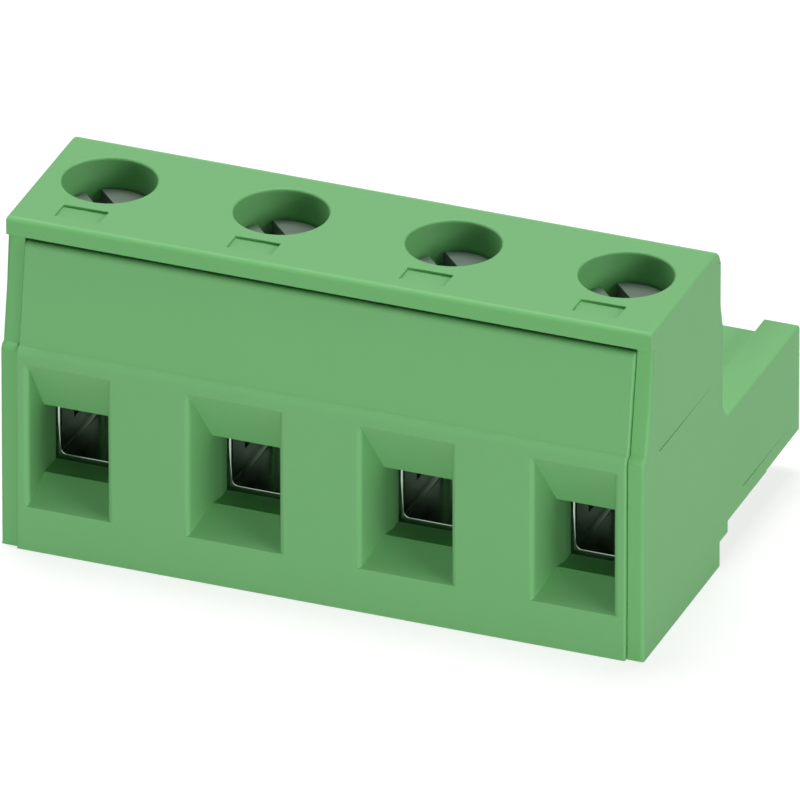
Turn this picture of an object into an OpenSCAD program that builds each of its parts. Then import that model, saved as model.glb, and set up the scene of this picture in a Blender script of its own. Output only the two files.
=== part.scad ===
// Pluggable screw terminal block, plug half, four poles.
// The wire entries face the front (-Y), the clamp screws the top (+Z) and the pin sockets the
// rear (+Y). Sizes are in millimetres. The origin is on the surface that the block stands on,
// under the middle of the whole block. Inside the modules Y counts from the front edge of the
// two end walls, and in_frame() moves the finished piece to the origin.

/* [Row] */
// Distance between two poles
pole_pitch = 7.62; // [7.5, 7.62]
// Distance from an end pole's axis to the end face
end_margin = 2.82; // [2.8:0.01:3]
// Distance of the screw axes behind the end walls' front edge
screw_y = 5.27; // [5.2:0.01:5.35]

/* [Housing] */
// Height of the block
body_h = 15; // [14.9:0.1:15.6]
// Depth of the tall part of the block
body_d = 8.88; // [8.85:0.01:9]
// Distance of the mating face behind the end walls' front edge
plug_d = 18.24; // [17.9:0.02:18.5]
// Height of the arms beside the mating section
arm_h = 6.65; // [6.4:0.05:6.7]
// Width of each arm
arm_t = 1.55; // [1.2:0.05:1.8]
// Height of the mating section between the arms
plug_h = 6; // [5.8:0.05:6.1]
// Underside of the mating section
plug_z = 1.74; // [1.6:0.02:1.8]
// Height of the lip that overhangs the front cover
lip_h = 0.83; // [0.7:0.01:0.9]
// Distance of the lip's face behind the end walls' front edge
lip_y = 0.74; // [0.6:0.02:0.8]

/* [Front cover] */
// How far the cover stands proud of the end walls
cover_proud = 0.18; // [0.05:0.01:0.25]
// Thickness of the end walls beside the cover
end_wall_t = 0.74; // [0.6:0.01:0.74]
// Gap between the cover's ends and the end walls
cover_gap = 0.02; // [0.02:0.01:0.08]
// Gap between the cover's top edge and the lip
lip_gap = 0.28; // [0.2:0.02:0.4]
// Radius of the cover's top edge
cover_top_r = 0.3; // [0.1:0.05:0.4]
// Height where the upright plate turns into the sloping panel
shoulder_z = 9.1; // [9:0.05:9.3]
// Radius of that shoulder
shoulder_r = 0.38; // [0.3:0.02:0.44]

/* [Wire entry] */
// Lower edge of the funnel's mouth
mouth_z0 = 2.04; // [1.9:0.02:2.3]
// Upper edge of the funnel's mouth
mouth_z1 = 8.76; // [8.5:0.02:8.8]
// Half the width of the mouth
mouth_half = 1.98; // [1.8:0.01:2]
// Half the width of the mouth on the outer side of an end pole
end_mouth_half = 1.52; // [1.48:0.01:1.55]
// Rounding of the mouth's upright edges
mouth_r = 0.25; // [0.1:0.01:0.3]
// Half the width of the channel behind the funnel
channel_half = 1.47; // [1.4:0.01:1.48]
// Floor of the channel
channel_z0 = 2.87; // [2.8:0.01:2.9]
// Roof of the channel
channel_z1 = 6.02; // [5.9:0.01:6.04]

/* [Clamp] */
// Diameter of the screw well
well_d = 4; // [3.9:0.05:4.1]
// Depth of the screw head below the top face
head_depth = 1.4; // [1.3:0.01:1.45]
// Diameter of the screw head
head_d = 3.54; // [3.4:0.02:3.54]
// Outer diameter of the screw thread
thread_d = 3; // [2.9, 3]
// Width of the driver slot
slot_w = 0.75; // [0.6:0.05:0.8]
// Turn of the driver slots seen from above
slot_angle = -46; // [-90:1:90]
// Outer width of the clamp cage
cage_w = 3.96; // [3.9:0.02:3.98]
// Depth of the clamp cage
cage_d = 4.58; // [4.4:0.02:4.6]
// Wall thickness of the clamp cage
cage_t = 0.68; // [0.6:0.02:0.7]
// How far the cage rises from open to fully clamped
cage_lift = 2.85; // [2.5:0.05:2.85]

/* [Contact] */
// Thickness of the current bar
bar_t = 0.8; // [0.7:0.05:0.8]
// Width of the current bar
bar_w = 2.2; // [2:0.1:2.2]
// Thickness of the two contact leaves
leaf_t = 0.35; // [0.3:0.01:0.38]
// Gap between the leaves where they hold the pin
leaf_gap = 0.8; // [0.7:0.05:0.9]
// Height of the pin's axis
pin_z = 3.85; // [3.8:0.01:3.9]
// Width of the square hole that the pin goes through
pin_hole = 1.5; // [1.3:0.05:1.6]

/* [Hidden] */
$fn = 64;
// overlap of a cutting shape past the face that it cuts
cut = 1;
// steps in one quarter of a rounded outline
arc_steps = 5;
pole_count = 4;
poles = [1:pole_count];
// half the width of the row and of the whole block
row_half = (pole_count - 1) * pole_pitch / 2;
body_half = row_half + end_margin;
cover_half = body_half - end_wall_t;
// the whole block reaches from the cover's face to the mating face
mid_y = (plug_d - cover_proud) / 2;

// outline of the front, seen from the side
lip_z = body_h - lip_h;
panel_top_y = 1.09;
shoulder_end = 100;
// lean of the sloping panel from the upright
panel_lean = atan((panel_top_y - shoulder_r * (1 + cos(shoulder_end)))
    / (lip_z - shoulder_z - shoulder_r * sin(shoulder_end)));
cover_back = 2.8;
// rear of the tall part: rounded at the top, upright, a little thicker, then out to the arms
top_rear_r = 0.73;
rear_z1 = 12.29;
rear_z2 = 11.1;
rear_z3 = 7.45;
rear_bulge = 0.29;
arm_foot_y = 9.74;
// underside of the mating section, with its two low steps
foot_z = 1.14;
foot_y = 9.82;
step_y = 14.37;
step_z = plug_z - 0.08;

// marking recess in front of each screw
mark_w = 2;
mark_y0 = 1.58;
mark_y1 = 2.65;
mark_depth = 0.14;
// shallow panels on the end faces: [front, rear, bottom, top, radius of the top front corner]
upper_panel = [1.63, 8.3, 9, 14.58, 0.9];
arm_panel = [11.48, 17, 2.37, 4.95, 0.5];
panel_low_r = 0.25;
panel_depth = 0.04;

// clamp space, counted up from the base
pocket_half = 2.07;
pocket_rear = 7.7;
pocket_z0 = 2.2;
pocket_z1 = 11.35;
head_z = body_h - head_depth;
head_h = 1.75;
neck_z = head_z - head_h - 0.03;
neck_clear = 0.08;
head_clear = 0.06;
// the head's top lies just below the floor of the wide well
well_floor = head_z + 0.05;
bar_z = 6.05;
bar_top = bar_z + bar_t;
cage_floor = bar_z - cage_lift - 0.15;
cage_roof = bar_top + 0.05;
cage_top = cage_roof + 1.4;
cage_r = 0.9;
cage_inner_r = 0.25;
cage_roof_r = 0.1;
scallop_z = 4;
thread_clear = 0.05;
tip_z = bar_top + 0.07;

// contact space and contact
leg_half = 1.075;
leg_rear = 8.55;
leg_front = leg_rear - bar_t;
bar_front = cover_back + 0.15;
bar_nose = 0.4;
leaf_h = 1.8;
leaf_z = pin_z - leaf_h / 2;
leaf_y0 = 10.2;
leaf_y1 = 15.4;
leaf_y2 = 16.9;
leaf_wide = leg_half - leaf_t / 2;
leaf_near = (leaf_gap + leaf_t) / 2;
leaf_mouth = 0.85;
socket_half = 1.3;
socket_roof = 5;
socket_rear = 17.3;
lead_in = 0.4;
spring_t = 0.15;
spring_gap = 0.02;
spring_y0 = 10.4;
spring_y1 = 12;
spring_y2 = 15.8;
spring_low = 0.3;

// snap prongs that hold the cover between the poles
prong_w = 1.5;
prong_h = 1;
prong_l = 2.3;
barb_l = 0.6;
barb_h = 0.25;
prong_clear = 0.06;
prong_rows = [4.2, 10.6];

function pole_x(i) = (i - 1) * pole_pitch - row_half;

// points along an arc about [cy, cz], from one angle to another
function arc(c, r, from, to, n = arc_steps) =
    [for (k = [0:n]) c + r * [cos(from + (to - from) * k / n), sin(from + (to - from) * k / n)]];

// front outline from the base up to the foot of the sloping panel: upright, then a round shoulder
function front_foot(y0) =
    concat([[y0, 0]], arc([y0 + shoulder_r, shoulder_z], shoulder_r, 180, shoulder_end));

// depth of the sloping panel at height z
function panel_y(z, y0) = y0 + panel_top_y - (lip_z - z) * tan(panel_lean);

// moves a piece so that the whole block stands over the origin
module in_frame() {
    translate([0, -mid_y, 0]) children();
}

// sweeps a [y, z] outline across the block, from x0 to x1
module along_x(x0, x1) {
    translate([x0, 0, 0])
        rotate([90, 0, 90])
            linear_extrude(x1 - x0) children();
}

// a box given by its two corners
module block(low, high) {
    translate(low) cube(high - low);
}

module at_pole(i) {
    translate([pole_x(i), 0, 0]) children();
}

module round_rect(low, high, r) {
    w = high[0] - low[0];
    h = high[1] - low[1];
    translate(low) {
        translate([r, 0]) square([w - 2 * r, h]);
        translate([0, r]) square([w, h - 2 * r]);
        for (x = [r, w - r], y = [r, h - r])
            translate([x, y]) circle(r);
    }
}

// moulded housing

// side outline of the whole housing, as the end walls and arms show it
module housing_outline() {
    polygon(concat(
        front_foot(0),
        [[panel_y(lip_z, 0), lip_z], [lip_y, lip_z], [lip_y, body_h]],
        arc([body_d - top_rear_r, body_h - top_rear_r], top_rear_r, 90, 0),
        [[body_d, rear_z1], [body_d + rear_bulge, rear_z2], [body_d + rear_bulge, rear_z3],
         [arm_foot_y, arm_h], [plug_d, arm_h], [plug_d, plug_z],
         [step_y, plug_z], [step_y, step_z], [foot_y, step_z],
         [foot_y, foot_z], [body_d, foot_z], [body_d, 0]]));
}

// what is cut away between the arms, down to the mating section's own top
module between_arms() {
    slope = (arm_foot_y - body_d - rear_bulge) / (rear_z3 - arm_h);
    along_x(arm_t - body_half, body_half - arm_t)
        polygon([[body_d + rear_bulge, rear_z3],
            [body_d + rear_bulge + slope * (rear_z3 - plug_h), plug_h],
            [plug_d + cut, plug_h], [plug_d + cut, rear_z3]]);
}

// shallow panel in an end face, deepest at its front and running out at its rear
module end_panel(p) {
    lean = atan(panel_depth / (p[1] - p[0]));
    translate([body_half, p[1], 0])
        rotate([0, 0, -lean])
            translate([0, -p[1], 0])
                along_x(0, cut)
                    polygon(concat([[p[1] + cut, p[2]], [p[1] + cut, p[3]]],
                        arc([p[0] + p[4], p[3] - p[4]], p[4], 90, 180),
                        arc([p[0] + panel_low_r, p[2] + panel_low_r], panel_low_r, 180, 270)));
}

// screw well: driver access, head seat and the neck that holds the screw upright
module screw_well() {
    translate([0, screw_y, well_floor]) cylinder(d = well_d, h = body_h - well_floor + cut);
    translate([0, screw_y, neck_z]) cylinder(r = head_d / 2 + head_clear, h = well_floor - neck_z + cut);
    translate([0, screw_y, pocket_z1 - cut]) cylinder(r = thread_d / 2 + neck_clear, h = cut * 2);
}

// room for the cage, the contact's leg and the two leaves
module clamp_space() {
    block([-pocket_half, cover_back - cut, pocket_z0], [pocket_half, pocket_rear, pocket_z1]);
    block([-socket_half, pocket_rear - cut, leaf_z], [socket_half, leg_rear, bar_top + 0.1]);
    block([-socket_half, leg_rear - cut, leaf_z], [socket_half, socket_rear, socket_roof]);
}

// square hole in the mating face with a wide, sloping mouth
module pin_entry() {
    h = pin_hole / 2;
    w = h + lead_in;
    profile = [[socket_rear - cut, -h], [plug_d - lead_in, -h], [plug_d, -w], [plug_d + cut, -w],
        [plug_d + cut, w], [plug_d, w], [plug_d - lead_in, h], [socket_rear - cut, h]];
    intersection() {
        along_x(-w, w) translate([0, pin_z]) polygon(profile);
        translate([0, 0, pin_z - w]) linear_extrude(2 * w) mirror([1, -1]) polygon(profile);
    }
}

// outline of a snap prong, or with clearance c, of the slot that takes it
module prong_outline(z, c) {
    y0 = cover_back;
    y1 = cover_back + prong_l;
    yb = y1 - barb_l;
    translate([0, z])
        polygon([[y0 - (c > 0 ? cut : 0.3), -c], [y1 + c, -c], [y1 + c, prong_h - barb_h + c],
            [yb - c, prong_h + barb_h + c], [yb - c, prong_h + c],
            [y0 - (c > 0 ? cut : 0.3), prong_h + c]]);
}

// the prongs sit in the walls between two poles
module prongs(c) {
    for (i = [1:pole_count - 1], z = prong_rows)
        translate([pole_x(i) + pole_pitch / 2, 0, 0])
            along_x(-prong_w / 2 - c, prong_w / 2 + c) prong_outline(z, c);
}

module housing() {
    color("#73b073")
        in_frame()
            difference() {
                along_x(-body_half, body_half) housing_outline();
                // bay for the front cover, under the lip
                block([-cover_half, -cut, -cut], [cover_half, cover_back, lip_z]);
                between_arms();
                for (i = poles)
                    at_pole(i) {
                        screw_well();
                        clamp_space();
                        pin_entry();
                        block([-mark_w / 2, mark_y0, body_h - mark_depth],
                            [mark_w / 2, mark_y1, body_h + cut]);
                    }
                for (side = [0, 1], p = [upper_panel, arm_panel])
                    mirror([side, 0, 0]) end_panel(p);
                prongs(prong_clear);
            }
}

// moulded front cover with the four wire funnels

// outline of one side wall of a funnel, seen from above: rounded mouth, taper, channel
function funnel_side(half) =
    concat([[half + mouth_r, -cover_proud - cut]],
        arc([half + mouth_r, mouth_r - cover_proud], mouth_r, 270, 180),
        [[channel_half, 2.1], [channel_half, cover_back + cut]]);

// one funnel: its plan outline cut with its side outline
module funnel(left, right) {
    left_side = [for (p = funnel_side(left)) [-p[0], p[1]]];
    right_side = funnel_side(right);
    n = len(right_side) - 1;
    intersection() {
        linear_extrude(body_h)
            polygon(concat(left_side, [for (k = [0:n]) right_side[n - k]]));
        along_x(-pole_pitch / 2, pole_pitch / 2)
            polygon([[-cover_proud - cut, mouth_z0], [-cover_proud, mouth_z0],
                [1.55, channel_z0], [cover_back + cut, channel_z0],
                [cover_back + cut, channel_z1], [1.55, channel_z1],
                [-cover_proud, mouth_z1], [-cover_proud - cut, mouth_z1]]);
    }
}

// side outline of the cover: its top edge is rounded and tucks in under the lip
function cover_outline() =
    let (top = lip_z - lip_gap,
         end = top - cover_top_r * (1 - sin(panel_lean)),
         c = [panel_y(end, -cover_proud) + cover_top_r * cos(panel_lean), top - cover_top_r])
    concat(front_foot(-cover_proud), arc(c, cover_top_r, 180 - panel_lean, 90),
        [[cover_back, top], [cover_back, 0]]);

module front_cover() {
    color("#6fab6f")
        in_frame() {
            difference() {
                along_x(cover_gap - cover_half, cover_half - cover_gap) polygon(cover_outline());
                for (i = poles)
                    at_pole(i)
                        funnel(i == 1 ? end_mouth_half : mouth_half,
                            i == pole_count ? end_mouth_half : mouth_half);
            }
            prongs(0);
        }
}

// slotted clamp screw, turned from steel; it stands on its own axis
module clamp_screw(i) {
    head_r = head_d / 2;
    shank_r = thread_d / 2;
    under = head_z - head_h;
    color("#8d9895")
        in_frame()
            translate([pole_x(i), screw_y, 0])
                difference() {
                    rotate_extrude()
                        polygon([[0, tip_z], [shank_r - 0.4, tip_z], [shank_r, tip_z + 0.4],
                            [shank_r, under], [head_r, under], [head_r, head_z - 0.12],
                            [head_r - 0.12, head_z], [0, head_z]]);
                    rotate([0, 0, slot_angle])
                        block([-head_d, -slot_w / 2, head_z - 0.9], [head_d, slot_w / 2, head_z + cut]);
                }
}

// outline of the opening in the cage, rounder at its floor than at its roof
module cage_throat(w) {
    mid = (cage_floor + cage_roof) / 2;
    round_rect([-w, cage_floor], [w, mid + cage_inner_r], cage_inner_r);
    round_rect([-w, mid - cage_roof_r], [w, cage_roof], cage_roof_r);
}

// clamp cage, bent from sheet to a square tube, with a thick threaded roof
module clamp_cage(i) {
    w = cage_w / 2;
    low = cage_floor - cage_t;
    color("#b9bcba")
        in_frame()
            translate([pole_x(i), screw_y, 0])
                difference() {
                    translate([0, cage_d / 2, 0])
                        rotate([90, 0, 0])
                            linear_extrude(cage_d)
                                difference() {
                                    round_rect([-w, low], [w, cage_top], cage_r);
                                    cage_throat(w - cage_t);
                                }
                    // the tap runs on below the roof and leaves a scallop in each side wall
                    translate([0, 0, scallop_z])
                        cylinder(r = thread_d / 2 + thread_clear, h = cage_top - scallop_z + cut);
                }
}

// half the distance between the leaves' middle lines at depth y
function leaf_x(y) =
    y < leaf_y0 ? leaf_wide
    : y < leaf_y1 ? leaf_wide + (leaf_near - leaf_wide) * (1 - cos(180 * (y - leaf_y0) / (leaf_y1 - leaf_y0))) / 2
    : leaf_near + (leaf_mouth - leaf_near) * (1 - cos(90 * (y - leaf_y1) / (leaf_y2 - leaf_y1)));

// strip that follows the leaf between two depths, from offset a to offset b of its middle line
module leaf_strip(y0, y1, a, b, n = 10) {
    ys = [for (k = [0:n]) y0 + (y1 - y0) * k / n];
    polygon(concat([for (y = ys) [leaf_x(y) + a, y]],
        [for (k = [0:n]) [leaf_x(ys[n - k]) + b, ys[n - k]]]));
}

// contact, stamped and bent: current bar under the screw, leg, and two leaves for the pin
module contact(i) {
    color("#c9c9c3")
        in_frame()
            at_pole(i) {
                // bar with a chamfered nose
                along_x(-bar_w / 2, bar_w / 2)
                    polygon([[bar_front, bar_top - bar_nose], [bar_front, bar_z], [leg_rear - bar_t / 2, bar_z],
                        [leg_rear - bar_t / 2, bar_top], [bar_front + bar_nose, bar_top]]);
                // leg with a round bend at its top
                along_x(-bar_w / 2, bar_w / 2)
                    difference() {
                        square_from([leg_front, leaf_z], [leg_rear, bar_top]);
                        square_from([leg_rear - bar_t / 2, bar_top - bar_t / 2], [leg_rear + cut, bar_top + cut]);
                    }
                along_x(-bar_w / 2, bar_w / 2)
                    translate([leg_rear - bar_t / 2, bar_top - bar_t / 2]) circle(bar_t / 2);
                for (side = [0, 1])
                    mirror([side, 0, 0])
                        translate([0, 0, leaf_z])
                            linear_extrude(leaf_h)
                                leaf_strip(leg_rear - bar_t / 2, leaf_y2, -leaf_t / 2, leaf_t / 2, 20);
            }
}

module square_from(low, high) {
    translate(low) square(high - low);
}

// steel over-spring: a bridge across the two leaves and an arm down each side
module contact_spring(i) {
    inner = leaf_t / 2 + spring_gap;
    top = leaf_z + leaf_h;
    color("#a3a6a8")
        in_frame()
            at_pole(i) {
                for (side = [0, 1])
                    mirror([side, 0, 0])
                        translate([0, 0, leaf_z + spring_low])
                            linear_extrude(leaf_h - spring_low + spring_t)
                                leaf_strip(spring_y0, spring_y2, inner, inner + spring_t, 12);
                block([-leaf_wide, spring_y0, top], [leaf_wide, spring_y1, top + spring_t]);
                for (side = [0, 1])
                    mirror([side, 0, 0])
                        translate([0, 0, top])
                            linear_extrude(spring_t)
                                leaf_strip(spring_y0, spring_y1, -leaf_t, inner + spring_t / 2, 4);
            }
}

housing();
front_cover();
clamp_screw(1);  // clamp_screw_1
clamp_screw(2);  // clamp_screw_2
clamp_screw(3);  // clamp_screw_3
clamp_screw(4);  // clamp_screw_4
clamp_cage(1);  // clamp_cage_1
clamp_cage(2);  // clamp_cage_2
clamp_cage(3);  // clamp_cage_3
clamp_cage(4);  // clamp_cage_4
contact(1);  // contact_1
contact(2);  // contact_2
contact(3);  // contact_3
contact(4);  // contact_4
contact_spring(1);  // contact_spring_1
contact_spring(2);  // contact_spring_2
contact_spring(3);  // contact_spring_3
contact_spring(4);  // contact_spring_4
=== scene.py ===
import math

import bmesh
import bpy
import numpy as np
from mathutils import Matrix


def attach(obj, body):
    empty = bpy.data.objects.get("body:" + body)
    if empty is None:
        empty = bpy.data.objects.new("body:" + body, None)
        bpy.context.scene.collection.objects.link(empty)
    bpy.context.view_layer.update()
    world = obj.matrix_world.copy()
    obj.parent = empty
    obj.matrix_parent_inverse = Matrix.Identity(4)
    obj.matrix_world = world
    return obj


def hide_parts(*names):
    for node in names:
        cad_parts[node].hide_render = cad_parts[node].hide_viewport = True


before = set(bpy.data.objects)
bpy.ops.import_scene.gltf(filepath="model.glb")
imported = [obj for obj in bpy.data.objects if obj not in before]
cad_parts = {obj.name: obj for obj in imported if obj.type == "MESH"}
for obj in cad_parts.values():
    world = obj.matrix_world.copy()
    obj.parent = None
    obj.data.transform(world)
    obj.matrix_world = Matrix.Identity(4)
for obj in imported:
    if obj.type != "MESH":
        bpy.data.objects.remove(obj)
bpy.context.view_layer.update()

# Housing. The main moulding: top face with four screw wells, lip, end walls, rear wall and the low
# mating section with its two arms. Pale green polyamide, injection moulded in one piece against a
# finely eroded steel mould, so it looks satin, with every outer edge a little rounded.
POLES = np.array([-11.43, -3.81, 3.81, 11.43])  # mm, middle of each pole along the row
SCREW_Y = -3.76  # mm, the screws' axes in the frame
MIDDLE = 9.03  # mm from the end walls' front edge to the middle of the block
HALF_WIDTH = 14.25  # mm
OUTER_ROUND = 0.13  # mm, rounding of the moulding's outer edges
FRONT_ROUND = 0.18  # mm, at the end walls' upright front edges
LIP_ROUND = 0.25  # mm, along the lip's upper edge
RIM_ROUND = 0.1  # mm, at the wells' rims
REAR_ROUND = 0.05  # mm, at the upright edges behind
FINE_ROUND = 0.03  # mm, round the base, at the parting lines and at the small recesses
WELL_R = 2.0  # mm
SEAT_R = 1.83  # mm, the narrower head seat that the solids have below each well


def colour(hex_code):
    """An sRGB hex colour as linear red, green, blue and alpha."""
    c = np.array([int(hex_code[i:i + 2], 16) for i in (0, 2, 4)]) / 255
    linear = np.where(c <= 0.04045, c / 12.92, ((c + 0.055) / 1.055) ** 2.4)
    return (*linear, 1.0)


def add(tree, kind, sockets={}, **settings):
    """Adds one node. settings are its properties; sockets maps an input's name or number to a value
    or to the output that feeds it."""
    made = tree.nodes.new(kind)
    for key, value in settings.items():
        setattr(made, key, value)
    for key, value in sockets.items():
        if isinstance(value, bpy.types.NodeSocket):
            tree.links.new(value, made.inputs[key])
        else:
            made.inputs[key].default_value = value
    return made


def new_material(name):
    """An empty node material, its tree and its output node."""
    material = bpy.data.materials.new(name)
    material.use_nodes = True
    material.node_tree.nodes.clear()
    return material, material.node_tree, add(material.node_tree, "ShaderNodeOutputMaterial")


def merged_copy(node, name, cuts=(), reshape=lambda corner: None):
    """The CAD node's triangles with their doubles merged and flat neighbours joined, in a new object
    with no material. Flat means within a tenth of a degree. Each cut is an axis number and a place
    on it in mm, where flat faces stay parted, so that no face is left with a hole in it. reshape may
    move a corner."""
    work = bmesh.new()
    work.from_mesh(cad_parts[node].data)
    for v in work.verts:
        reshape(v)
    bmesh.ops.remove_doubles(work, verts=work.verts, dist=2e-6)
    flat = math.radians(0.1)
    bmesh.ops.dissolve_limit(work, angle_limit=flat, verts=work.verts, edges=work.edges)
    for axis, place in cuts:
        normal = [float(axis == k) for k in range(3)]
        bmesh.ops.bisect_plane(work, geom=work.verts[:] + work.edges[:] + work.faces[:], dist=2e-6,
                               plane_co=[k * place / 1000 for k in normal], plane_no=normal)

    def on_cut(points):
        return any(all(abs(v.co[axis] * 1000 - place) < 0.003 for v in points) for axis, place in cuts)

    bmesh.ops.dissolve_limit(work, angle_limit=flat, verts=[v for v in work.verts if not on_cut([v])],
                             edges=[e for e in work.edges if not on_cut(e.verts)])
    mesh = bpy.data.meshes.new(name)
    work.to_mesh(mesh)
    work.free()
    mesh.materials.clear()
    piece = bpy.data.objects.new(name, mesh)
    bpy.context.scene.collection.objects.link(piece)
    return piece


def soften_edges(piece, rounding, segments=3, sharp_deg=20, round_deg=30):
    """Rounds the outer edges that turn by more than round_deg. rounding(x, y, z) gives the radius in
    mm for whole arrays of edge middles, in mm, with y from the end walls' front edge. Edges that turn
    by more than sharp_deg and aren't rounded stay crisp; the others shade as one smooth surface."""
    mesh = piece.data
    work = bmesh.new()
    work.from_mesh(mesh)
    turn = np.array([math.degrees(e.calc_face_angle_signed(0.0)) for e in work.edges])
    middle = np.array([(e.verts[0].co + e.verts[1].co)[:] for e in work.edges]) * 500
    work.free()
    radius = np.where(turn > round_deg, rounding(middle[:, 0], middle[:, 1] + MIDDLE, middle[:, 2]), 0)
    widest = radius.max()
    weight = mesh.attributes.new("bevel_weight_edge", "FLOAT", "EDGE")
    weight.data.foreach_set("value", (radius / widest).astype(np.float32))
    crisp = mesh.attributes.get("sharp_edge") or mesh.attributes.new("sharp_edge", "BOOLEAN", "EDGE")
    crisp.data.foreach_set("value", (np.abs(turn) > sharp_deg) & (radius == 0))
    mesh.polygons.foreach_set("use_smooth", np.ones(len(mesh.polygons), bool))
    bevel = piece.modifiers.new("rounding", "BEVEL")
    bevel.limit_method = "WEIGHT"
    bevel.width = widest / 1000
    bevel.segments = segments
    bevel.use_clamp_overlap = False
    bevel.miter_outer = "MITER_ARC"
    shade = piece.modifiers.new("shading", "WEIGHTED_NORMAL")
    shade.mode = "FACE_AREA"
    shade.weight = 100
    shade.keep_sharp = True


def near_pole(x, reach):
    """True where x is within reach of a pole's middle."""
    return np.abs(x[:, None] - POLES[None, :]).min(1) < reach


def housing_rounding(x, y, z):
    """Outer edges get the moulding's rounding, wells a smaller one, small recesses next to none, and
    what the front cover or the other pieces hide stays crisp. Later rules win over earlier ones."""
    side = np.abs(x)
    r = np.full(len(x), OUTER_ROUND)
    r[(y < 1) & (z > 14.9) & (side < 14.2)] = LIP_ROUND
    r[(y < 1.2) & (z > 14.1) & (z < 14.8)] = FINE_ROUND  # the lip's lower edge
    r[(y < 1.2) & (z < 14.1) & (side < 13.6)] = FINE_ROUND  # the end walls along the cover
    r[(y > 8.8) & (z < 14.9) & ~((y > 9.3) & (z > 6.5))] = REAR_ROUND
    r[(y < 0.6) & (side > 14.1) & (z < 14.9)] = FRONT_ROUND
    r[z < 1.8] = FINE_ROUND  # the base
    r[near_pole(x, 2.05) & (y > 3) & (y < 7.6) & (z > 14.9)] = RIM_ROUND
    r[near_pole(x, 1.05) & (y > 1.5) & (y < 2.7) & (z > 14.8)] = FINE_ROUND  # marking recesses
    r[(np.abs(y - 14.37) < 0.1) & (z < 1.8)] = 0  # the step under the mating section
    r[near_pole(x, 1.3) & (y > 17.5) & (z > 2.5) & (z < 5.2)] = FINE_ROUND  # pin windows
    r[near_pole(x, 2.5) & (y > 2.7) & (y < 17.6) & (z > 2) & (z < 14.8)] = 0  # shafts and channels
    r[(side < 13.6) & (y > 0.9) & (y < 5.4) & (z < 14.3)] = 0  # behind the cover
    r[(y > 0.9) & (y < 2.9) & (z > 14.1) & (z < 14.3)] = 0  # the lip's underside
    end_panel = (y > 1.5) & (y < 8.5) & (z > 8.9) & (z < 14.7)
    arm_panel = (y > 11.4) & (y < 17.2) & (z > 2.3) & (z < 5)
    r[(end_panel | arm_panel) & (side > HALF_WIDTH - 0.15)] = 0
    return r


def polyamide(name, base, shaded):
    """Injection-moulded polyamide: a satin surface that takes its grain from the eroded mould, with
    faint colour drift from the flow of the melt, 4 mm across. The grain is 0.12 mm across and 2.5
    micrometres high."""
    material, tree, output = new_material(name)
    place = add(tree, "ShaderNodeTexCoord").outputs["Object"]
    drift = add(tree, "ShaderNodeTexNoise", {"Vector": place, "Scale": 1 / 0.004, "Detail": 2.0})
    tone = add(tree, "ShaderNodeMix", {"Factor": drift.outputs["Fac"], 6: colour(base), 7: colour(shaded)},
               data_type="RGBA")
    grain = add(tree, "ShaderNodeTexNoise", {"Vector": place, "Scale": 1 / 0.00012, "Detail": 2.0})
    gloss = add(tree, "ShaderNodeMapRange", {"Value": grain.outputs["Fac"], "To Min": 0.5, "To Max": 0.6})
    bump = add(tree, "ShaderNodeBump", {
        "Height": grain.outputs["Fac"], "Distance": 2.5e-6, "Strength": 1.0})
    shader = add(tree, "ShaderNodeBsdfPrincipled", {
        "Base Color": tone.outputs[2], "Roughness": gloss.outputs["Result"], "IOR": 1.53,
        "Normal": bump.outputs["Normal"]})
    tree.links.new(shader.outputs["BSDF"], output.inputs["Surface"])
    return material


def open_seat(corner):
    """Widens the head seats to the wells' radius, as the screw heads nearly fill the real wells."""
    for pole in POLES:
        x, y = corner.co.x - pole / 1000, corner.co.y - SCREW_Y / 1000
        if abs(math.hypot(x, y) * 1000 - SEAT_R) < 0.004:
            corner.co.x += x * (WELL_R / SEAT_R - 1)
            corner.co.y += y * (WELL_R / SEAT_R - 1)


# The housing's red and blue are raised a little over the plastic's own green: painted sheen, standing in
# for the front lamp's reflection, which glossy rays don't see.
housing_plastic_and_painted_sheen = polyamide("moulded_polyamide_housing_and_painted_sheen", "6db16d", "6baf6b")
housing = merged_copy("housing", "housing_moulding", [(0, x) for x in POLES] + [(2, 11.79), (2, 3.66)],
                      open_seat)
soften_edges(housing, housing_rounding)
housing.data.materials.append(housing_plastic_and_painted_sheen)
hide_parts("housing")
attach(housing, "housing")

# Front cover. A second moulding of the same polyamide, snapped in between the end walls: a plate
# with the four wire funnels and the sloping marking panel above them.
COVER_ROUND = 0.1  # mm, rounding of the cover's outline
CHANNEL_ROUND = 0.06  # mm, where a funnel meets its channel


def cover_rounding(x, y, z):
    """The cover's own outline and the funnels' upper and lower mouth edges are rounded; the upright
    mouth edges are round in the moulding already. The back and the snap prongs stay crisp."""
    r = np.full(len(x), COVER_ROUND)
    r[z < 0.1] = FINE_ROUND
    r[near_pole(x, 2.3) & (y > 0.1) & (z > 2.2) & (z < 8.6)] = 0
    channel = (np.abs(z - 6.02) < 0.05) | (np.abs(z - 2.87) < 0.05)
    r[near_pole(x, 1.6) & (y > 1.4) & (y < 1.7) & channel] = CHANNEL_ROUND
    r[y > 2.6] = 0
    return r


# The cover's colour is paler in red and blue than the housing's: painted sheen, standing in for the front
# lamp's reflection, which glossy rays don't see.
cover_plastic_and_painted_sheen = polyamide("moulded_polyamide_cover_and_painted_sheen", "71b171", "6faf6f")
cover = merged_copy("front_cover", "cover_moulding", [(2, 5.4)])
soften_edges(cover, cover_rounding)
cover.data.materials.append(cover_plastic_and_painted_sheen)
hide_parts("front_cover")
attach(cover, "housing")

# Contacts. Each is stamped and bent from one strip of copper alloy and tin plated, pressed into the
# housing from the front: silver grey, satin, with faint rolling lines. The grey is darker and greener
# than bright tin: painted shade and green reflection from deep inside the cages.
STRIP_EDGE = 0.05  # mm, rounding of the stamped strip's edges


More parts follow.
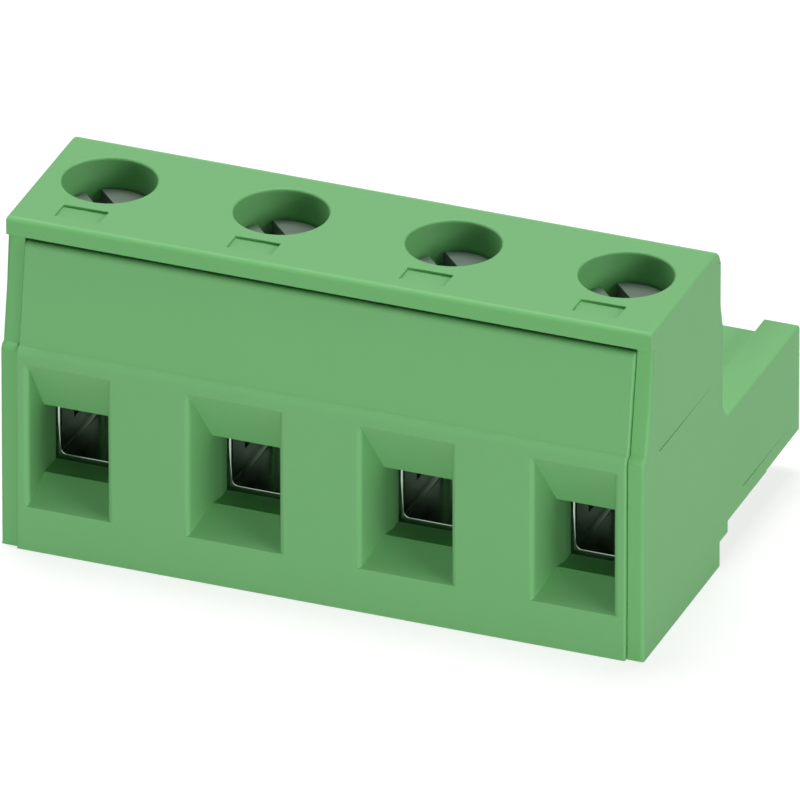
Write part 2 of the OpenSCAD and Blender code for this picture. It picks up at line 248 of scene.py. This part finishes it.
def tinned_alloy():
    """Tin plate on rolled copper alloy: metal, soft gloss, with rolling lines 0.06 mm apart."""
    material, tree, output = new_material("tinned_copper_alloy_painted_shade")
    place = add(tree, "ShaderNodeTexCoord").outputs["Object"]
    long = add(tree, "ShaderNodeMapping", {"Vector": place, "Scale": (1.0, 0.04, 1.0)})
    lines = add(tree, "ShaderNodeTexNoise", {
        "Vector": long.outputs["Vector"], "Scale": 1 / 0.00006, "Detail": 2.0})
    gloss = add(tree, "ShaderNodeMapRange", {"Value": lines.outputs["Fac"], "To Min": 0.34, "To Max": 0.46})
    bump = add(tree, "ShaderNodeBump", {"Height": lines.outputs["Fac"], "Distance": 1e-6, "Strength": 1.0})
    # The base colour is darker and greener than bright tin: painted shade and green reflection from inside
    # the cages.
    shader = add(tree, "ShaderNodeBsdfPrincipled", {
        "Base Color": colour("9da199"), "Metallic": 1.0, "Roughness": gloss.outputs["Result"],
        "Normal": bump.outputs["Normal"]})
    tree.links.new(shader.outputs["BSDF"], output.inputs["Surface"])
    return material


tin_plate_and_painted_shade = tinned_alloy()
for n in range(1, 5):
    contact = merged_copy("contact_%d" % n, "contact_strip_%d" % n)
    soften_edges(contact, lambda x, y, z: np.full(len(x), STRIP_EDGE), segments=2)
    contact.data.materials.append(tin_plate_and_painted_shade)
    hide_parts("contact_%d" % n)
    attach(contact, "housing")

# Contact springs. Stainless sheet, blanked and bent over each pair of leaves, so that the pin stays
# gripped: bare, a little darker and glossier than the tinned contact.
def spring_sheet():
    """Cold-rolled stainless: metal with fine lines along the sheet, 0.05 mm apart."""
    material, tree, output = new_material("rolled_stainless_sheet")
    place = add(tree, "ShaderNodeTexCoord").outputs["Object"]
    long = add(tree, "ShaderNodeMapping", {"Vector": place, "Scale": (1.0, 0.03, 1.0)})
    lines = add(tree, "ShaderNodeTexNoise", {
        "Vector": long.outputs["Vector"], "Scale": 1 / 0.00005, "Detail": 2.0})
    gloss = add(tree, "ShaderNodeMapRange", {"Value": lines.outputs["Fac"], "To Min": 0.2, "To Max": 0.34})
    shader = add(tree, "ShaderNodeBsdfPrincipled", {
        "Base Color": colour("b9bbbd"), "Metallic": 1.0, "Roughness": gloss.outputs["Result"]})
    tree.links.new(shader.outputs["BSDF"], output.inputs["Surface"])
    return material


stainless = spring_sheet()
for n in range(1, 5):
    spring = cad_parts["contact_spring_%d" % n]
    spring.data.materials.clear()
    spring.data.materials.append(stainless)

# Clamp cages. Steel strip bent to a square sleeve with a thick threaded roof, zinc plated and
# passivated: bright and smooth, with rounded edges where the wire goes in.
CAGE_EDGE = 0.04  # mm, rounding of the sleeve's front and rear edges
CAGE_MOUTH = 0.16  # mm, at the upright edges where the wire goes in


def cage_rounding(x, y, z):
    """The tumbled sleeve is rounded at its front and rear edges; the threaded bore isn't."""
    r = np.where((y < 3.1) | (y > 7.4), CAGE_EDGE, 0.0)
    r[(y < 3.1) & (z > 3.3) & (z < 6.8) & near_pole(x, 1.35)] = CAGE_MOUTH
    return r


def bright_zinc():
    """Bright zinc on steel: metal with the faint mottle of the passivation, 0.4 mm across. Its grey is
    tinted green, a painted reflection of the green plastic round the cages.
    """
    material, tree, output = new_material("zinc_plated_steel_cage_painted_green_reflection")
    place = add(tree, "ShaderNodeTexCoord").outputs["Object"]
    mottle = add(tree, "ShaderNodeTexNoise", {"Vector": place, "Scale": 1 / 0.0004, "Detail": 3.0})
    gloss = add(tree, "ShaderNodeMapRange", {
        "Value": mottle.outputs["Fac"], "To Min": 0.16, "To Max": 0.24})
    # The grey base colour is tinted green: painted reflection of the green plastic round the cages.
    shader = add(tree, "ShaderNodeBsdfPrincipled", {
        "Base Color": colour("bccabf"), "Metallic": 1.0, "Roughness": gloss.outputs["Result"]})
    tree.links.new(shader.outputs["BSDF"], output.inputs["Surface"])
    return material


cage_zinc_and_painted_reflection = bright_zinc()
for n in range(1, 5):
    cage = merged_copy("clamp_cage_%d" % n, "clamp_sleeve_%d" % n)
    soften_edges(cage, cage_rounding, segments=4)
    cage.data.materials.append(cage_zinc_and_painted_reflection)
    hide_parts("clamp_cage_%d" % n)
    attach(cage, "cage_%d" % n)

# Clamp screws. Turned and thread-rolled steel, zinc plated, with a flat slotted head sunk in the
# well: dull grey, with turning marks round the head and a metric thread down to a chamfered tip.
HEAD_R = 1.93  # mm, as all these sizes
HEAD_TOP = 13.6  # above the floor
HEAD_UNDER = 11.85
HEAD_EDGE = 0.12  # rounding of the head's rim
SLOT_WIDTH = 0.75
SLOT_DEPTH = 0.65
SLOT_TURN = math.radians(-46)
THREAD_R = 1.5
THREAD_DEPTH = 0.29
THREAD_PITCH = 0.5
THREAD_END = 11.5  # where the thread runs out into the neck
NECK_R = 1.22
TIP_Z = 6.92
TIP_R = 1.1


def grid_faces(rows, columns, first=0):
    """Corner numbers of the four-sided faces of a grid of rows by columns points, row after row."""
    i = np.arange(rows - 1)[:, None] * columns + np.arange(columns - 1)[None, :] + first
    return np.stack([i, i + 1, i + columns + 1, i + columns], -1).reshape(-1, 4)


def head_surface():
    """The slotted head. Each station is an angle from the slot's direction. Rings go from the rim's
    lower edge up round the rounding to the flat top, then in: on a ring of radius R a station stands
    at R(sin a, cos a), and the slot's two walls stand at plus and minus half the slot's width."""
    half = SLOT_WIDTH / 2
    bend = np.linspace(0, np.pi / 2, 5)
    radii = np.concatenate([[HEAD_R], HEAD_R - HEAD_EDGE * (1 - np.cos(bend)), [1.2, 0.8, 0.45]])
    heights = np.concatenate([[HEAD_UNDER], HEAD_TOP - HEAD_EDGE * (1 - np.sin(bend)), [HEAD_TOP] * 3])
    share = np.linspace(0, 1, 25)
    # one land, from one end of the slot round to the other, on the +across side
    start = np.arcsin(np.clip(half / radii, 0, 1))[:, None]
    angle = start + (np.pi - 2 * start) * share[None, :]
    across = radii[:, None] * np.sin(angle)
    along = radii[:, None] * np.cos(angle)
    up = np.repeat(heights[:, None], len(share), 1)
    land = np.stack([across, along, up], -1)
    land[:, 0, 0] = half
    land[:, -1, 0] = half
    # the slot's wall under that land's straight edge, and half of its floor
    edge = np.concatenate([land[1:, 0], land[1:, -1][::-1]])
    foot = edge.copy()
    foot[:, 2] = HEAD_TOP - SLOT_DEPTH
    middle = foot.copy()
    middle[:, 0] = 0
    middle[[0, -1], 1] = np.array([1, -1]) * HEAD_R
    parts = [land, np.stack([edge, foot, middle])]
    # the head's side below the slot's ends
    corner = math.asin(half / HEAD_R)
    for a in (np.linspace(0, corner, 3), np.linspace(np.pi - corner, np.pi, 3)):
        low = np.stack([HEAD_R * np.sin(a), HEAD_R * np.cos(a), np.full(len(a), HEAD_UNDER)], -1)
        high = low.copy()
        high[:, 2] = HEAD_TOP - SLOT_DEPTH
        parts.append(np.stack([low, high]))
    return parts


def thread_surface():
    """The rolled thread as a function of turn t and height: rows follow the helix z = row + pitch t,
    and each turn has a flat crest an eighth of the pitch wide and a flat root a quarter wide, with
    straight flanks. Heights are held between the tip and the neck, and the tip's chamfer caps the
    radius."""
    turns = np.linspace(0, 1, 49)
    count = int((THREAD_END - TIP_Z) / THREAD_PITCH) + 3
    step = np.array([0, 0.125, 0.4375, 0.6875])
    radius = np.array([THREAD_R, THREAD_R, THREAD_R - THREAD_DEPTH, THREAD_R - THREAD_DEPTH])
    rows = (np.arange(-1, count)[:, None] + step[None, :]).reshape(-1) * THREAD_PITCH + TIP_Z
    r = np.tile(radius, count + 1)
    z = rows[:, None] + THREAD_PITCH * turns[None, :]
    r = np.repeat(r[:, None], len(turns), 1)
    fade = np.clip((THREAD_END - z) / 0.3, 0, 1)
    r = NECK_R + (r - NECK_R) * fade
    z = np.clip(z, TIP_Z, THREAD_END)
    r = np.minimum(r, TIP_R + (z - TIP_Z))
    a = 2 * np.pi * turns[None, :]
    return np.stack([r * np.cos(a), r * np.sin(a), z], -1)


def revolved(profile, columns=49):
    """Points of a profile of (radius, height) turned about the screw's axis."""
    a = np.linspace(0, 2 * np.pi, columns)[None, :]
    r, z = np.array(profile, float).T[:, :, None]
    return np.stack([r * np.cos(a), r * np.sin(a), z + 0 * a], -1)


def slotted_screw(number):
    """Head, neck, thread and tip as grids, joined, closed and moved onto the pole's axis."""
    c, s = math.cos(SLOT_TURN), math.sin(SLOT_TURN)
    turn = np.array([[c, -s], [s, c]])
    grids = []
    for part in head_surface():
        for side in (1, -1):
            # along and across swap into X and Y, so that the slot lies along X before it is turned
            xy = np.stack([part[..., 1] * side, part[..., 0] * side], -1) @ turn.T
            grids.append(np.concatenate([xy, part[..., 2:]], -1))
    grids.append(revolved([(HEAD_R, HEAD_UNDER), (NECK_R, HEAD_UNDER), (NECK_R, THREAD_END)]))
    grids.append(thread_surface())
    grids.append(revolved([(TIP_R, TIP_Z), (0.5, TIP_Z), (0.0, TIP_Z)]))
    points, faces, start = [], [], 0
    for g in grids:
        faces.append(grid_faces(g.shape[0], g.shape[1], start))
        points.append(g.reshape(-1, 3))
        start += g.shape[0] * g.shape[1]
    points = np.concatenate(points) + np.array([POLES[number - 1], SCREW_Y, 0])
    mesh = bpy.data.meshes.new("slotted_screw_%d" % number)
    mesh.from_pydata((points / 1000).tolist(), [], np.concatenate(faces).tolist())
    work = bmesh.new()
    work.from_mesh(mesh)
    bmesh.ops.remove_doubles(work, verts=work.verts, dist=3e-6)
    bmesh.ops.dissolve_degenerate(work, edges=work.edges, dist=1e-6)
    bmesh.ops.recalc_face_normals(work, faces=work.faces)
    work.to_mesh(mesh)
    work.free()
    mesh.polygons.foreach_set("use_smooth", np.ones(len(mesh.polygons), bool))
    mesh.set_sharp_from_angle(angle=math.radians(35))
    xy = np.empty(len(mesh.vertices) * 3, np.float32)
    mesh.vertices.foreach_get("co", xy)
    xy = xy.reshape(-1, 3)[:, :2] * 1000 - np.array([POLES[number - 1], SCREW_Y])
    distance = mesh.attributes.new("axis_distance_mm", "FLOAT", "POINT")
    distance.data.foreach_set("value", np.hypot(xy[:, 0], xy[:, 1]).astype(np.float32))
    piece = bpy.data.objects.new("slotted_screw_%d" % number, mesh)
    bpy.context.scene.collection.objects.link(piece)
    return piece


def turned_zinc():
    """Zinc-plated turned steel, dulled by its passivation: metal with rings 0.12 mm apart round the
    axis, from the lathe, and the mottle of the plating, 0.3 mm across. Its grey is tinted green, a
    painted reflection of the green wells round the heads."""
    material, tree, output = new_material("zinc_plated_turned_steel_painted_green_reflection")
    place = add(tree, "ShaderNodeTexCoord").outputs["Object"]
    mottle = add(tree, "ShaderNodeTexNoise", {"Vector": place, "Scale": 1 / 0.0003, "Detail": 3.0})
    distance = add(tree, "ShaderNodeAttribute", attribute_name="axis_distance_mm").outputs["Fac"]
    rings = add(tree, "ShaderNodeMath", {0: distance, 1: 2 * math.pi / 0.12}, operation="MULTIPLY")
    wave = add(tree, "ShaderNodeMath", {0: rings.outputs[0]}, operation="SINE")
    bump = add(tree, "ShaderNodeBump", {"Height": wave.outputs[0], "Distance": 1.5e-6, "Strength": 1.0})
    gloss = add(tree, "ShaderNodeMapRange", {"Value": mottle.outputs["Fac"], "To Min": 0.5, "To Max": 0.62})
    # The dull grey base colour is tinted green: painted reflection of the green well walls.
    shader = add(tree, "ShaderNodeBsdfPrincipled", {
        "Base Color": colour("748277"), "Metallic": 1.0, "Roughness": gloss.outputs["Result"],
        "Normal": bump.outputs["Normal"]})
    tree.links.new(shader.outputs["BSDF"], output.inputs["Surface"])
    return material


screw_zinc_and_painted_reflection = turned_zinc()
for n in range(1, 5):
    screw = slotted_screw(n)
    screw.data.materials.append(screw_zinc_and_painted_reflection)
    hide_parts("clamp_screw_%d" % n)
    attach(screw, "screw_%d" % n)

# Studio. A plain white floor in a dim even room, with a softbox overhead a little behind the block,
# one at the right, and weaker fills in front, behind and at the left. The camera stands far off to
# the front right, above.
ROOM = 0.02  # strength of the even light all round
FLOOR_TONE = 0.4  # of the lamps' light that the paper gives back, which keeps the shadow faint
FLOOR_GLOW = 0.72  # brings the paper up to white where it is seen

scene = bpy.context.scene
scene.view_settings.view_transform = "Standard"


def seen_ray(tree):
    """1 on rays that show a surface in the picture, straight, by reflection or through glass."""
    ray = add(tree, "ShaderNodeLightPath").outputs
    seen = ray["Is Camera Ray"]
    for other in ("Is Glossy Ray", "Is Transmission Ray"):
        seen = add(tree, "ShaderNodeMath", {0: seen, 1: ray[other]}, operation="MAXIMUM").outputs[0]
    return seen


world = bpy.data.worlds.new("pale_room")
world.use_nodes = True
tree = world.node_tree
tree.nodes.clear()
seen = seen_ray(tree)
even = add(tree, "ShaderNodeBackground", {"Color": (1, 1, 1, 1), "Strength": ROOM})
white = add(tree, "ShaderNodeBackground", {"Color": (1, 1, 1, 1), "Strength": 1.0})
both = add(tree, "ShaderNodeMixShader", {0: seen, 1: even.outputs[0], 2: white.outputs[0]})
add(tree, "ShaderNodeOutputWorld", {"Surface": both.outputs[0]})
scene.world = world

floor_mesh = bpy.data.meshes.new("floor")
floor_mesh.from_pydata([(-2, -2, 0), (2, -2, 0), (2, 2, 0), (-2, 2, 0)], [], [(0, 1, 2, 3)])
floor = bpy.data.objects.new("floor", floor_mesh)
scene.collection.objects.link(floor)
floor_white, tree, output = new_material("white_studio_paper")
top = add(tree, "ShaderNodeBsdfDiffuse", {"Color": (FLOOR_TONE, FLOOR_TONE, FLOOR_TONE, 1)})
level = add(tree, "ShaderNodeMath", {0: seen_ray(tree), 1: FLOOR_GLOW}, operation="MULTIPLY")
glow = add(tree, "ShaderNodeEmission", {"Color": (1, 1, 1, 1), "Strength": level.outputs[0]})
both = add(tree, "ShaderNodeAddShader", {0: top.outputs[0], 1: glow.outputs[0]})
tree.links.new(both.outputs[0], output.inputs["Surface"])
floor_mesh.materials.append(floor_white)


def softbox(name, width, height, place, watts):
    """A lamp of the given width and height in metres that faces the block's middle."""
    lamp = bpy.data.lights.new(name, "AREA")
    lamp.shape = "RECTANGLE"
    lamp.size = width
    lamp.size_y = height
    lamp.energy = watts
    stand = bpy.data.objects.new(name, lamp)
    stand.location = place
    aim = np.array([0, 0, 0.01]) - np.array(place)
    flat = math.hypot(aim[0], aim[1])
    stand.rotation_euler = (math.atan2(flat, -aim[2]), 0, math.atan2(aim[1], aim[0]) - math.pi / 2)
    scene.collection.objects.link(stand)
    return stand


softbox("overhead_softbox", 0.3, 0.25, (-0.08, 0.11, 0.6), 2.6)
softbox("right_softbox", 0.3, 0.2, (0.53, -0.12, 0.25), 1.66)
fills = (softbox("front_strip", 0.3, 0.04, (0.11, -0.59, 0.022), 2.0),
         softbox("rear_strip", 0.3, 0.04, (0.0, 0.6, 0.05), 0.8),
         softbox("left_softbox", 0.3, 0.2, (-0.55, 0.05, 0.2), 0.5))
for fill in fills:
    fill.visible_glossy = False  # these only fill, and leave no glint deep in the cages

camera = bpy.data.cameras.new("camera")
camera.sensor_width = 36
camera.lens = 1600  # as long as the lens may be for the views from other sides to stay in reach
stand = bpy.data.objects.new("camera", camera)
stand.location = (0.466908, -1.209499, 0.70805)
stand.rotation_euler = (math.radians(90 - 28.4705), 0, math.radians(21.1085))
scene.collection.objects.link(stand)
scene.camera = stand
